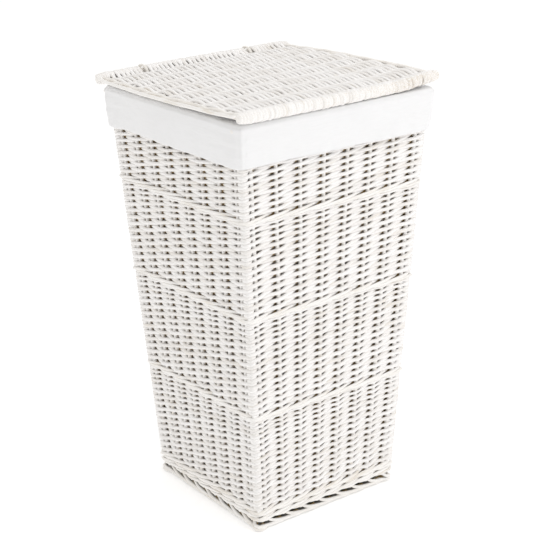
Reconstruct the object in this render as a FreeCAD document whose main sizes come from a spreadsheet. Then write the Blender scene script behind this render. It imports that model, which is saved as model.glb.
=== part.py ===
"""Tall tapering willow laundry basket with a hinged square-work lid and a fold-over cotton liner.

The basket stands on its foot border with the origin at the middle of its footprint.
+Z is up, the front is -Y, and the lid is hinged on two willow loops at the back, +Y.
Thirty-two stakes lean outwards in four rows of eight.  Four sections of randing are woven
round them, parted by three narrow wales, between a bottom wale and the rim border.
All sizes are in millimetres and come from the sheet "size".
"""
import FreeCAD, Part
import math
import os

import Sketcher

from FreeCAD import Placement, Rotation, Vector

X_AXIS, Y_AXIS, Z_AXIS = Vector(1, 0, 0), Vector(0, 1, 0), Vector(0, 0, 1)
LEVEL = 0.01  # an edge that rises less than this counts as level

# alias: (value, what it is)
DIMENSIONS = {
    "rim_height": (612.0, "top of the rim border above the floor"),
    "stake_line_foot": (120.0, "half side of the square of stake centres, at the floor"),
    "wall_flare": (0.0588, "how far a wall leans out for each mm of height"),
    "wall_half_thick": (7.0, "half the thickness of the woven wall"),
    "corner_round": (10.0, "outer radius of the upright corners"),
    "corner_round_inside": (2.0, "inner radius of the upright corners"),
    "rim_corner_round": (11.0, "outer radius of the rim border's corners"),
    "stake_count": (8, "stakes in each side"),
    "stake_corner_gap": (12.0, "from a corner of the stake line to the nearest stake"),
    "stake_foot_radius": (3.0, "stake radius at the foot, the thick butt end"),
    "stake_rim_radius": (2.4, "stake radius at the rim, the thin tip end"),
    "stake_end_gap": (0.3, "from a stake's end to the border beyond it"),
    "channel_gap": (0.1, "slack round each stick in the weaving"),
    "foot_border_top": (14.0, "top of the foot border"),
    "foot_border_half": (127.0, "outer half side of the foot border"),
    "foot_border_hole": (113.0, "inner half side of the foot border"),
    "bottom_wale_top": (36.0, "top of the bottom wale"),
    "wale_height": (10.0, "height of each narrow wale"),
    "wale_proud": (0.8, "how far a wale stands out of the randing"),
    "wale_low": (180.5, "underside of the lowest narrow wale"),
    "wale_middle": (331.0, "underside of the middle narrow wale"),
    "wale_high": (472.5, "underside of the highest narrow wale"),
    "rim_border_base": (592.0, "underside of the rim border"),
    "rim_border_half": (167.5, "outer half side of the rim border at its top"),
    "rim_border_lean": (4.5, "how much narrower the rim border's outside is at its underside"),
    "rim_border_hole": (148.5, "inner half side of the rim border"),
    "base_middle": (15.5, "height of the middle of the woven base"),
    "base_half_thick": (6.0, "half the thickness of the woven base"),
    "base_edge_radius": (4.4, "radius of the base's two edge sticks"),
    "base_stick_radius": (3.4, "radius of the base's inner sticks"),
    "base_stick_count": (5, "inner sticks in the base"),
    "cloth": (1.2, "thickness of the cotton cloth"),
    "cloth_gap": (0.4, "air between the cloth and the basket"),
    "bag_floor": (22.0, "underside of the liner's floor"),
    "bag_foot_half": (112.8, "outer half side of the liner at its floor"),
    "bag_rim_half": (148.0, "outer half side of the liner at the rim"),
    "bag_corner_round": (8.0, "outer radius of the liner's corners"),
    "cuff_hem_height": (553.0, "lower edge of the cuff"),
    "cuff_hem_thick": (2.6, "thickness of the cuff at its hem"),
    "elastic_thick": (0.8, "thickness of the elastic"),
    "elastic_width": (6.0, "width of the elastic"),
    "elastic_lift": (2.0, "from the hem's edge up to the elastic"),
    "lid_half": (173.0, "half side of the lid"),
    "lid_middle": (622.6, "height of the middle of the lid, and of the hinge"),
    "lid_turn": (2.0, "degrees that the handmade lid sits out of square"),
    "lid_shift": (1.0, "how far the lid sits to the left, and to the back"),
    "lid_half_thick": (6.5, "half the thickness of the lid's weaving"),
    "lid_edge_radius": (5.0, "radius of the lid's two edge sticks"),
    "lid_wrap_radius": (8.8, "radius of the weaving turned round an edge stick"),
    "lid_stick_radius": (3.0, "radius of the lid's inner sticks"),
    "lid_stick_count": (8, "inner sticks in the lid"),
    "plait_width": (13.8, "width of a plaited side border of the lid"),
    "plait_round": (4.0, "edge radius of a plaited border"),
    "plait_gap": (0.5, "air between a plaited border and the edge sticks"),
    "loop_spread": (190.0, "distance between the two hinge loops"),
    "loop_height": (617.7, "height of the middle of a hinge loop"),
    "loop_ring_radius": (12.0, "radius of a hinge loop to the middle of its rod"),
    "loop_rod_radius": (1.6, "radius of a hinge loop's rod"),
    "notch_width": (9.0, "width left free in weaving and cloth for a hinge loop"),
    "notch_depth": (21.0, "how far a notch reaches in from the hinge line"),
    "slit_height": (14.0, "height of the liner's slit for a hinge loop"),
}

document = FreeCAD.newDocument("laundry_basket")
sheet = document.addObject("Spreadsheet::Sheet", "size")


def fill_sheet():
    """Writes each driving dimension to a row of the sheet, as a plain number with an alias."""
    for row, (alias, (value, note)) in enumerate(DIMENSIONS.items(), start=1):
        sheet.set(f"A{row}", note)
        sheet.set(f"B{row}", str(value))
        sheet.setAlias(f"B{row}", alias)
    document.recompute()


def size(alias):
    """A driving dimension, read from the sheet."""
    return float(sheet.get(alias))


def bind(thing, **formulas):
    """Binds properties of a document object to formulas in the sheet's aliases."""
    for path, formula in formulas.items():
        thing.setExpression(path.replace("__", "."), str(formula))


def named(thing, label):
    """Gives a finished sub-part its label, which is also the name of its file."""
    thing.Label = label
    finished.append(thing)
    return thing


def cut(base, tool, name):
    """The base less the tool."""
    result = document.addObject("Part::Cut", name)
    result.Base = base
    result.Tool = tool
    return result


def compound(pieces, name):
    """Several separate solids held together as one object."""
    group = document.addObject("Part::Compound", name)
    group.Links = pieces
    return group


def stake_line(level):
    """Formula for the half side of the stake line at a height."""
    return f"(size.stake_line_foot + size.wall_flare * ({level}))"


# ---------------------------------------------------------------- tapering square rings

def frustum(name, low, high, half_low, half_high):
    """An upright square block between two heights whose half side changes evenly."""
    block = document.addObject("Part::Wedge", name)
    block.Placement = Placement(Vector(), Rotation(X_AXIS, 90))
    bind(block, Ymin=low, Ymax=high)
    bind(block, Xmin=f"-({half_low})", Xmax=half_low, Zmin=f"-({half_low})", Zmax=half_low)
    bind(block, X2min=f"-({half_high})", X2max=half_high)
    bind(block, Z2min=f"-({half_high})", Z2max=half_high)
    return block


def rounded(block, radius):
    """A square block with its four upright edges rounded."""
    document.recompute()
    upright = [
        number
        for number, edge in enumerate(block.Shape.Edges, start=1)
        if abs(edge.Vertexes[0].Z - edge.Vertexes[-1].Z) > LEVEL
    ]
    fillet = document.addObject("Part::Fillet", f"{block.Name}_round")
    fillet.Base = block
    fillet.Edges = [(number, radius, radius) for number in upright]
    return fillet


def square_ring(name, low, high, outer, inner, rounds):
    """A tapering square ring.

    outer and inner each give the half side low and high, and rounds the radius of the
    outer and the inner upright edges.
    """
    block = rounded(frustum(f"{name}_outside", low, high, *outer), rounds[0])
    hole = rounded(frustum(f"{name}_inside", low, high, *inner), rounds[1])
    return cut(block, hole, f"{name}_ring")


def woven_ring(label, low, high, proud="0"):
    """A course of weaving round all four walls, with a channel in it for every stake."""
    def face(level, side):
        return f"{stake_line(level)} {side} (size.wall_half_thick + {proud})"

    ring = square_ring(
        label,
        low,
        high,
        (face(low, "+"), face(high, "+")),
        (f"{stake_line(low)} - size.wall_half_thick", f"{stake_line(high)} - size.wall_half_thick"),
        (size("corner_round"), size("corner_round_inside")),
    )
    return named(cut(ring, channels, f"{label}_woven"), label)


# ---------------------------------------------------------------- stakes

SIDES = {  # side: (along the wall, out of the wall)
    "front": ((1, 0), (0, -1)),
    "right": ((0, 1), (1, 0)),
    "back": ((-1, 0), (0, 1)),
    "left": ((0, -1), (-1, 0)),
}


def stake_rod(name, side, place, extra):
    """One leaning stake, number place from 0, whose radius has extra added to it."""
    (along_x, along_y), (out_x, out_y) = SIDES[side]
    share = f"({place} / (size.stake_count - 1))"

    def across(level):
        return (
            f"((size.stake_corner_gap - {stake_line(level)}) * (1 - 2 * {share}))"
        )

    def east(level):
        return f"({along_x} * {across(level)} + {out_x} * {stake_line(level)})"

    def north(level):
        return f"({along_y} * {across(level)} + {out_y} * {stake_line(level)})"

    low = "(size.foot_border_top + size.stake_end_gap)"
    high = "(size.rim_border_base - size.stake_end_gap)"
    lean_x = f"({east(high)} - {east(low)})"
    lean_y = f"({north(high)} - {north(low)})"
    rise = f"({high} - {low})"
    rod = document.addObject("Part::Cone", name)
    bind(rod, Radius1=f"size.stake_foot_radius + {extra}", Radius2=f"size.stake_rim_radius + {extra}")
    bind(rod, Height=f"sqrt({lean_x}^2 + {lean_y}^2 + {rise}^2)")
    bind(rod, Placement__Base__x=east(low), Placement__Base__y=north(low), Placement__Base__z=low)
    bind(
        rod,
        Placement__Rotation__Axis__x=f"0 - {lean_y}",
        Placement__Rotation__Axis__y=lean_x,
        Placement__Rotation__Axis__z="0",
        Placement__Rotation__Angle=f"atan(sqrt({lean_x}^2 + {lean_y}^2) / {rise})",
    )
    return rod


def make_stakes():
    """The thirty-two stakes as sub-parts, and the channels that they need in the weaving."""
    rods = []
    for side in SIDES:
        for place in range(int(size("stake_count"))):
            label = f"stake_{side}_{place + 1}"
            named(stake_rod(label, side, place, "0"), label)
            rods.append(stake_rod(f"channel_{side}_{place + 1}", side, place, "size.channel_gap"))
    return compound(rods, "stake_channels")


# ---------------------------------------------------------------- borders, wales and weaving

def make_walls():
    """The wales and the sections of randing, from the foot up."""
    wales = ["size.wale_low", "size.wale_middle", "size.wale_high"]
    woven_ring("bottom_wale", "size.foot_border_top", "size.bottom_wale_top", "size.wale_proud")
    for number, base in enumerate(wales, start=1):
        woven_ring(f"wale_{number}", base, f"({base} + size.wale_height)", "size.wale_proud")
    starts = ["size.bottom_wale_top"] + [f"({base} + size.wale_height)" for base in wales]
    for number, (low, high) in enumerate(zip(starts, wales + ["size.rim_border_base"]), start=1):
        woven_ring(f"weave_section_{number}", low, high)


def make_foot_border():
    """The border on the floor that the basket stands on."""
    outer, inner = "size.foot_border_half", "size.foot_border_hole"
    ring = square_ring(
        "foot_border",
        "0",
        "size.foot_border_top",
        (outer, outer),
        (inner, inner),
        (size("corner_round"), size("corner_round_inside")),
    )
    named(ring, "foot_border")


def make_rim_border():
    """The thick border round the mouth, with a channel for each hinge loop."""
    outer, inner = "size.rim_border_half", "size.rim_border_hole"
    ring = square_ring(
        "rim",
        "size.rim_border_base",
        "size.rim_height",
        (f"({outer} - size.rim_border_lean)", outer),
        (inner, inner),
        (size("rim_corner_round"), size("corner_round_inside")),
    )
    tools = compound(
        [
            loop_ring(f"loop_channel_{name}", side, "size.channel_gap")
            for name, side in (("left", -1), ("right", 1))
        ],
        "loop_channels",
    )
    named(cut(ring, tools, "rim_border"), "rim_border")


# ---------------------------------------------------------------- square work: base and lid

def plane_of(body, role):
    """One of a body's own origin planes or axes."""
    return next(item for item in body.Origin.OriginFeatures if item.Role == role)


def sketch_on(body, role, name):
    """An empty sketch on one of a body's origin planes."""
    sketch = body.newObject("Sketcher::SketchObject", name)
    sketch.AttachmentSupport = [(plane_of(body, role), "")]
    sketch.MapMode = "FlatFace"
    return sketch


def fix(sketch, formula, *constraint):
    """Adds a constraint that has a value, and binds the value to a formula."""
    number = sketch.addConstraint(Sketcher.Constraint(*constraint, value_of(formula)))
    sketch.setExpression(f"Constraints[{number}]", formula)


def circle_on_axis(sketch, reach, radius, arc=None):
    """A circle, or an arc of one, centred on the sketch's horizontal axis."""
    shape = Part.Circle(Vector(value_of(reach), 0, 0), Z_AXIS, value_of(radius))
    if arc:
        shape = Part.ArcOfCircle(shape, *arc)
    circle = sketch.addGeometry(shape)
    sketch.addConstraint(Sketcher.Constraint("PointOnObject", circle, 3, -1))
    fix(sketch, reach, "DistanceX", -1, 1, circle, 3)
    fix(sketch, radius, "Radius", circle)
    return circle


def weaving_outline(sketch, half_thick, reach, edge_radius, wrap):
    """The section of the weaving: a flat middle and a round turn about each edge stick."""
    thick_now, wrap_now = value_of(half_thick), value_of(wrap)
    turn = math.asin(thick_now / wrap_now)
    flat = value_of(reach) - wrap_now * math.cos(turn)
    top, bottom = (
        sketch.addGeometry(
            Part.LineSegment(Vector(-sign * flat, sign * thick_now, 0),
                             Vector(sign * flat, sign * thick_now, 0)))
        for sign in (1, -1)
    )
    left = circle_on_axis(sketch, f"-{reach}", wrap, (turn, 2 * math.pi - turn))
    right = circle_on_axis(sketch, reach, wrap, (math.pi + turn, 3 * math.pi - turn))
    joins = ((top, 1, left, 1), (bottom, 2, left, 2), (top, 2, right, 2), (bottom, 1, right, 1))
    for join in joins:
        sketch.addConstraint(Sketcher.Constraint("Coincident", *join))
    for line in (top, bottom):
        sketch.addConstraint(Sketcher.Constraint("Horizontal", line))
    fix(sketch, half_thick, "DistanceY", -1, 1, top, 1)
    fix(sketch, half_thick, "DistanceY", bottom, 2, -1, 1)
    for sign in ("-", ""):
        circle_on_axis(sketch, f"{sign}{reach}", f"({edge_radius} + size.channel_gap)")


def weaving_body(label, half_length, half_thick, edge, sticks):
    """Weaving turned round two edge sticks and crossed over the inner sticks, along X.

    edge gives the reach of an edge stick's centre, its radius and the radius of the weaving
    round it; sticks gives the number of inner sticks and their radius.
    """
    reach, edge_radius, wrap = edge
    count, stick_radius = sticks
    body = document.addObject("PartDesign::Body", label)
    outline = sketch_on(body, "YZ_Plane", f"{label}_outline")
    weaving_outline(outline, half_thick, reach, edge_radius, wrap)
    slab = body.newObject("PartDesign::Pad", f"{label}_slab")
    slab.Profile = outline
    slab.Midplane = True
    bind(slab, Length=f"2 * ({half_length})")

    bore = sketch_on(body, "YZ_Plane", f"{label}_bore")
    first_place = f"(-{reach} * ({count} - 1) / ({count} + 1))"
    circle_on_axis(bore, first_place, f"({stick_radius} + size.channel_gap)")
    drilled = body.newObject("PartDesign::Pocket", f"{label}_drilled")
    drilled.Profile = bore
    drilled.Type = "ThroughAll"
    drilled.Midplane = True
    row = body.newObject("PartDesign::LinearPattern", f"{label}_row")
    row.Originals = [drilled]
    row.Direction = (bore, ["H_Axis"])
    bind(row, Length=f"2 * {reach} * ({count} - 1) / ({count} + 1)", Occurrences=count)
    body.Tip = row
    return body


def value_of(formula):
    """The present value of a formula in the sheet's aliases, read off a spare object bound to it."""
    spare = document.addObject("App::Placement", "spare")
    bind(spare, Placement__Base__x=formula)
    spare.recompute()
    value = spare.Placement.Base.x
    document.removeObject(spare.Name)
    return value


def rod_along_x(name, half_length, radius, north, height):
    """A straight stick along X."""
    rod = document.addObject("Part::Cylinder", name)
    rod.Placement = Placement(Vector(), Rotation(Y_AXIS, 90))
    bind(rod, Radius=radius, Height=f"2 * ({half_length})")
    bind(rod, Placement__Base__x=f"-({half_length})", Placement__Base__y=north,
         Placement__Base__z=height)
    return rod


def inner_sticks(name, half_length, radius, reach, count, height):
    """The row of inner sticks of a piece of square work, evenly spaced between its edges."""
    rods = []
    for place in range(1, int(value_of(count)) + 1):
        north = f"({reach}) * (2 * {place} / ({count} + 1) - 1)"
        rods.append(rod_along_x(f"{name}_{place}", half_length, radius, north, height))
    return compound(rods, name)


def make_base():
    """The woven base inside the foot border and the bottom wale."""
    half = "size.foot_border_hole"
    reach = "(size.foot_border_hole - size.base_half_thick)"
    weave = weaving_body(
        "base_weave",
        half,
        "size.base_half_thick * 0.9",
        (reach, "size.base_edge_radius", "size.base_half_thick"),
        ("size.base_stick_count", "size.base_stick_radius"),
    )
    bind(weave, Placement__Base__z="size.base_middle")
    named(weave, "base_weave")
    for side, sign in (("front", -1), ("back", 1)):
        label = f"base_edge_stick_{side}"
        named(rod_along_x(label, half, "size.base_edge_radius", f"{sign} * {reach}",
                          "size.base_middle"), label)
    named(inner_sticks("base_sticks", half, "size.base_stick_radius", reach,
                       "size.base_stick_count", "size.base_middle"), "base_sticks")


# ---------------------------------------------------------------- liner

BAG_TOP = "(size.rim_height + 0.2)"
CUFF_HEM = "size.cuff_hem_height"


def cuff_wall():
    """Formula for the inner half side of the cuff at its hem."""
    return f"({stake_line(CUFF_HEM)} + size.wall_half_thick + size.wale_proud + size.cloth_gap)"


def make_bag():
    """The cotton bag that lines the basket from the base up to the rim."""
    sides = ("size.bag_foot_half", "size.bag_rim_half")
    outside = frustum("bag_outside", "size.bag_floor", BAG_TOP, *sides)
    hollow = frustum(
        "bag_inside",
        "size.bag_floor + size.cloth",
        f"{BAG_TOP} + size.cloth",
        *(f"{side} - size.cloth" for side in sides),
    )
    corner = size("bag_corner_round")
    named(cut(rounded(outside, corner), rounded(hollow, corner), "bag"), "liner_bag")


def hem_ring(name, gap):
    """The flat ring round the middle of the cuff's hem, drawn in by a gap on every side."""
    low = f"({CUFF_HEM} + size.elastic_lift)"
    high = f"({low} + size.elastic_width)"
    skin = "((size.cuff_hem_thick - size.elastic_thick) / 2)"
    outer = f"{cuff_wall()} + size.cuff_hem_thick - {skin} - {gap}"
    inner = f"{cuff_wall()} + {skin} + {gap}"
    corner = size("rim_corner_round")
    rounds = (corner, corner - size("elastic_thick"))
    return square_ring(name, f"{low} + {gap}", f"{high} - {gap}", (outer,) * 2, (inner,) * 2, rounds)


def make_cuff():
    """The folded-over cuff of the liner, and the elastic in its hem."""
    rim = "(size.rim_border_half + size.cloth_gap)"
    opening = "(size.bag_rim_half - size.cloth)"
    outside = frustum("cuff_outside", CUFF_HEM, f"{BAG_TOP} + size.cloth",
                      f"{cuff_wall()} + size.cuff_hem_thick", f"{rim} + size.cloth")
    inside = frustum("cuff_inside", CUFF_HEM, BAG_TOP, cuff_wall(), rim)
    mouth = frustum("cuff_mouth", "size.rim_border_base", "size.lid_middle", opening, opening)
    corner = size("rim_corner_round") + size("cloth_gap")
    shell = cut(rounded(outside, corner + size("cloth")), rounded(inside, corner), "cuff_shell")
    opened = cut(shell, rounded(mouth, size("bag_corner_round")), "cuff_opened")
    hemmed = cut(opened, hem_ring("hem_pocket", "0"), "cuff_hemmed")
    slits = compound([slit(name, side) for name, side in (("left", -1), ("right", 1))], "slits")
    named(cut(hemmed, slits, "cuff"), "liner_cuff")
    named(hem_ring("elastic", "size.channel_gap"), "cuff_elastic")


def slit(name, side):
    """The opening that a hinge loop needs at the fold of the liner."""
    block = document.addObject("Part::Box", f"slit_{name}")
    bind(block, Length="size.notch_width + 1", Width="2 * size.loop_ring_radius + 10",
         Height="size.slit_height + 2")
    middle_x, middle_y = loop_place(side)
    bind(
        block,
        Placement__Base__x=f"{middle_x} - (size.notch_width + 1) / 2",
        Placement__Base__y=f"{middle_y} - size.loop_ring_radius - size.loop_rod_radius - 1",
        Placement__Base__z="size.rim_height - size.slit_height + 2",
    )
    return block


# ---------------------------------------------------------------- lid and hinge

LID_REACH = "(size.lid_half - size.lid_wrap_radius)"


def on_lid(east, north):
    """Formulas for the place in the basket's frame of a point given in the lid's frame."""
    turn = "(size.lid_turn * 1 deg)"
    return (
        f"(({east}) * cos({turn}) - ({north}) * sin({turn}) - size.lid_shift)",
        f"(({east}) * sin({turn}) + ({north}) * cos({turn}) + size.lid_shift)",
    )


def seat_on_lid(piece):
    """Turns and shifts a piece, made square about the origin, to where the lid sits."""
    bind(piece, Placement__Base__x="-size.lid_shift", Placement__Base__y="size.lid_shift")
    bind(piece, Placement__Rotation__Angle="size.lid_turn * 1 deg")
    return piece


def loop_place(side):
    """Where a hinge loop's middle is, seen from above."""
    return on_lid(f"{side} * size.loop_spread / 2", LID_REACH)


def loop_ring(name, side, extra):
    """A hinge loop round the lid's back stick and down through the rim border."""
    ring = document.addObject("Part::Torus", name)
    ring.Placement = Placement(Vector(), Rotation(Z_AXIS, size("lid_turn")) * Rotation(Y_AXIS, 90))
    middle_x, middle_y = loop_place(side)
    bind(ring, Radius1="size.loop_ring_radius", Radius2=f"size.loop_rod_radius + {extra}")
    bind(ring, Placement__Base__x=middle_x, Placement__Base__y=middle_y,
         Placement__Base__z="size.loop_height")
    return ring


def make_hinge_loops():
    """The two willow rings that hold the lid's back stick to the rim border."""
    for name, side in (("left", -1), ("right", 1)):
        label = f"hinge_loop_{name}"
        named(loop_ring(label, side, "0"), label)


def lid_piece(thing, label):
    """Seats a piece made about the origin where the lid is, through a compound of its own."""
    return named(seat_on_lid(compound([thing], f"{label}_seat")), label)


def make_lid_weave():
    """The lid's weaving, notched at the back where the hinge loops pass."""
    body = weaving_body(
        "lid_weaving",
        "(size.lid_half - size.plait_width - 0.2)",
        "size.lid_half_thick",
        (LID_REACH, "size.lid_edge_radius", "size.lid_wrap_radius"),
        ("size.lid_stick_count", "size.lid_stick_radius"),
    )
    bind(body, Placement__Base__z="size.lid_middle")
    notches = []
    for name, side in (("left", -1), ("right", 1)):
        notch = document.addObject("Part::Box", f"notch_{name}")
        bind(notch, Length="size.notch_width", Width="size.notch_depth + size.lid_wrap_radius + 1",
             Height="2 * size.lid_wrap_radius + 2")
        bind(
            notch,
            Placement__Base__x=f"{side} * size.loop_spread / 2 - size.notch_width / 2",
            Placement__Base__y=f"{LID_REACH} - size.notch_depth",
            Placement__Base__z="size.lid_middle - size.lid_wrap_radius - 1",
        )
        notches.append(notch)
    lid_piece(cut(body, compound(notches, "notches"), "lid_notched"), "lid_weave")


def make_plait(side):
    """One plaited side border of the lid, a rounded bar between the two edge sticks."""
    name, sign = side
    half_length = f"({LID_REACH} - size.lid_edge_radius - size.plait_gap)"
    bar = document.addObject("Part::Box", f"plait_bar_{name}")
    bind(bar, Length="size.plait_width", Width=f"2 * {half_length}",
         Height="2 * size.lid_half_thick")
    bind(
        bar,
        Placement__Base__x=f"{sign} * (size.lid_half - size.plait_width / 2) - size.plait_width / 2",
        Placement__Base__y=f"-{half_length}",
        Placement__Base__z="size.lid_middle - size.lid_half_thick",
    )
    document.recompute()
    fillet = document.addObject("Part::Fillet", f"plait_{name}")
    fillet.Base = bar
    radius = size("plait_round")
    fillet.Edges = [
        (index + 1, radius, radius)
        for index, edge in enumerate(bar.Shape.Edges)
        if edge.Length > 2 * size("plait_width")
    ]
    lid_piece(fillet, f"lid_border_{name}")


def make_lid():
    """The lid: two edge sticks, inner sticks, weaving and two plaited side borders."""
    for side, sign in (("front", -1), ("back", 1)):
        rod = rod_along_x(f"edge_stick_{side}", "size.lid_half", "size.lid_edge_radius",
                          f"{sign} * {LID_REACH}", "size.lid_middle")
        lid_piece(rod, f"lid_edge_stick_{side}")
    rods = inner_sticks("lid_stick_row", "(size.lid_half - size.plait_width)",
                        "size.lid_stick_radius", LID_REACH, "size.lid_stick_count",
                        "size.lid_middle")
    lid_piece(rods, "lid_sticks")
    make_lid_weave()
    for side in (("left", -1), ("right", 1)):
        make_plait(side)


# ---------------------------------------------------------------- checks and files

def check_document():
    """Stops if any object failed to build or any sub-part's shape isn't sound."""
    document.recompute()
    for item in document.Objects:
        if {"Invalid", "Error"} & set(item.State):
            raise RuntimeError(f"{item.Label} failed: {item.State}")
    for piece in finished:
        if piece.Shape.isNull() or not piece.Shape.isValid() or not piece.Shape.Solids:
            raise RuntimeError(f"{piece.Label} has no sound solid")


def write_files():
    """Writes each sub-part to its own STEP file."""
    os.makedirs("parts", exist_ok=True)
    for piece in finished:
        piece.Shape.exportStep(f"parts/{piece.Label}.step")


finished = []
fill_sheet()
channels = make_stakes()
make_foot_border()
make_walls()
make_rim_border()
make_base()
make_bag()
make_cuff()
make_hinge_loops()
make_lid()
check_document()
write_files()
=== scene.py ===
import math

import bmesh
import bpy
import numpy as np
from mathutils import Matrix, Vector


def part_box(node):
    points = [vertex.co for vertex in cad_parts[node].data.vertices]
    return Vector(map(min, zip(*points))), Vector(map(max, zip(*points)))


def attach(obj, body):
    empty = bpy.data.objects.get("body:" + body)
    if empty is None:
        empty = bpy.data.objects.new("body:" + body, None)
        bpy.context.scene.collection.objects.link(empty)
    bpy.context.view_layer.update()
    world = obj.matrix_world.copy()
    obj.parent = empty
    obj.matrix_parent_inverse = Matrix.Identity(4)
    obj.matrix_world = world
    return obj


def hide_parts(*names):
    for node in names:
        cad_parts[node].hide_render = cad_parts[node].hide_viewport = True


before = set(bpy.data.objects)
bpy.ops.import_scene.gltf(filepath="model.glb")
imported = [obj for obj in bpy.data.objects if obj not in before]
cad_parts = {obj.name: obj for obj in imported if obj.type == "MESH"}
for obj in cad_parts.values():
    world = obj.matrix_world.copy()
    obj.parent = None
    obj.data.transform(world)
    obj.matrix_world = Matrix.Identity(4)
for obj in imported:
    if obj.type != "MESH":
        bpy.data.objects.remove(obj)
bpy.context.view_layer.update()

RNG = np.random.default_rng(631)
TAU = 2 * math.pi

# ---------------------------------------------------------------- the basket's measures, in metres

WALL_THICK = 0.014        # the woven wall, as in the CAD
STAKES = 8                # stakes in each side
ROUND = 4 * STAKES        # stakes all round
CORNER_GAP = 0.012        # from a corner of the stake line to the nearest stake
CORNER_TURN = 0.003       # radius of the weaving's middle line at a corner
CORNER_BULGE = 0.0050     # how far the weaving stands out as it turns a corner
BULGE_POWER = 1.3         # above 1 keeps the bulge close to the corner's edge
TRAVELS = (32, 30, 28, 26)                   # stakes passed by a rod of each section, lowest first
# how far the weave stands outside the CAD wall: at the foot, and more for each metre of height
WIDER_FOOT, WIDER_RISE = 0.0006, 0.0018

SECTION_BOXES = [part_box(f"weave_section_{i}") for i in (1, 2, 3, 4)]
LOW_TOP, HIGH_TOP = SECTION_BOXES[0][1], SECTION_BOXES[3][1]
FLARE = (HIGH_TOP.x - LOW_TOP.x) / (HIGH_TOP.z - LOW_TOP.z)
FOOT_LINE = LOW_TOP.x - FLARE * LOW_TOP.z - WALL_THICK / 2

# directions along and out of the front, right, back and left sides, seen from above
ALONG_SIDE = np.array([(1, 0), (0, 1), (-1, 0), (0, -1)])
OUT_OF_SIDE = np.array([(0, -1), (1, 0), (0, 1), (-1, 0)])


def smooth_step(x, low, high):
    """0 below low, 1 above high, and a smooth rise between them."""
    t = np.clip((x - low) / (high - low), 0, 1)
    return t * t * (3 - 2 * t)


def on_side(side, along, out):
    """Points or directions in plan, from their parts along and out of the side that each is on."""
    return along[:, None] * ALONG_SIDE[side] + out[:, None] * OUT_OF_SIDE[side]


def middle_line(z):
    """Half side of the square of stake centres at height z."""
    return FOOT_LINE + WIDER_FOOT + (FLARE + WIDER_RISE) * np.asarray(z, float)


def plan(u, half):
    """Place and outward normal, seen from above, of a point u stakes round from the front left corner."""
    u = np.asarray(u, float) % ROUND
    half = np.broadcast_to(np.asarray(half, float), u.shape)
    side = np.floor(u / STAKES).astype(int) % 4
    v = u - STAKES * side
    last = STAKES - 1
    run = CORNER_GAP - CORNER_TURN
    arc = CORNER_TURN * math.pi / 2
    q = (v - last) * (2 * run + arc)
    angle = np.clip((q - run) / CORNER_TURN, 0, math.pi / 2)
    along = np.where(v <= last, (half - CORNER_GAP) * (2 * v / last - 1),
                     half - CORNER_GAP + np.minimum(q, run))
    along = np.where(q > run, half - CORNER_TURN + CORNER_TURN * np.sin(angle), along)
    out = np.where(q > run, half - CORNER_TURN + CORNER_TURN * np.cos(angle), half)
    out = out - np.maximum(q - run - arc, 0)
    normal_along = np.where(q > run, np.sin(angle), 0.0)
    normal_out = np.where(q > run, np.cos(angle), 1.0)
    return on_side(side, along, out), on_side(side, normal_along, normal_out)


def wall_path(u, z, depth):
    """Points round the wall at stake positions u, heights z, and depth metres outside its middle line."""
    spot, normal = plan(u, middle_line(z))
    corner_share = np.clip(np.asarray(u) % STAKES - (STAKES - 1), 0, 1)
    depth = np.asarray(depth) + CORNER_BULGE * (1 - np.abs(2 * corner_share - 1)) ** BULGE_POWER
    points = np.column_stack([spot + normal * depth[:, None], z])
    normals = np.column_stack([normal, np.zeros(len(z))])
    return points, normals


def wander(length, count, size):
    """Small smooth wavering along a rod: count values, about size high, with a wave each length steps."""
    t = np.arange(count) / length
    total = np.zeros(count)
    for pace in (1.0, 0.43, 2.3):
        total += np.sin(TAU * pace * t + RNG.uniform(0, TAU)) * RNG.uniform(0.3, 0.8)
    return total * size


def soften(values):
    """A running mean over five values, which rounds the bends of a path."""
    return np.convolve(np.pad(values, 2, mode="edge"), np.ones(5) / 5, "valid")


# ---------------------------------------------------------------- meshes

# two short rings round off each end of a rod: how far out they are and how thick, in radii
END_OUTER, END_INNER = (0.35, 0.55), (0.2, 0.85)
GRAIN_STEP = 0.731        # metres of grain between one rod and the next, so that no two look alike


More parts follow.
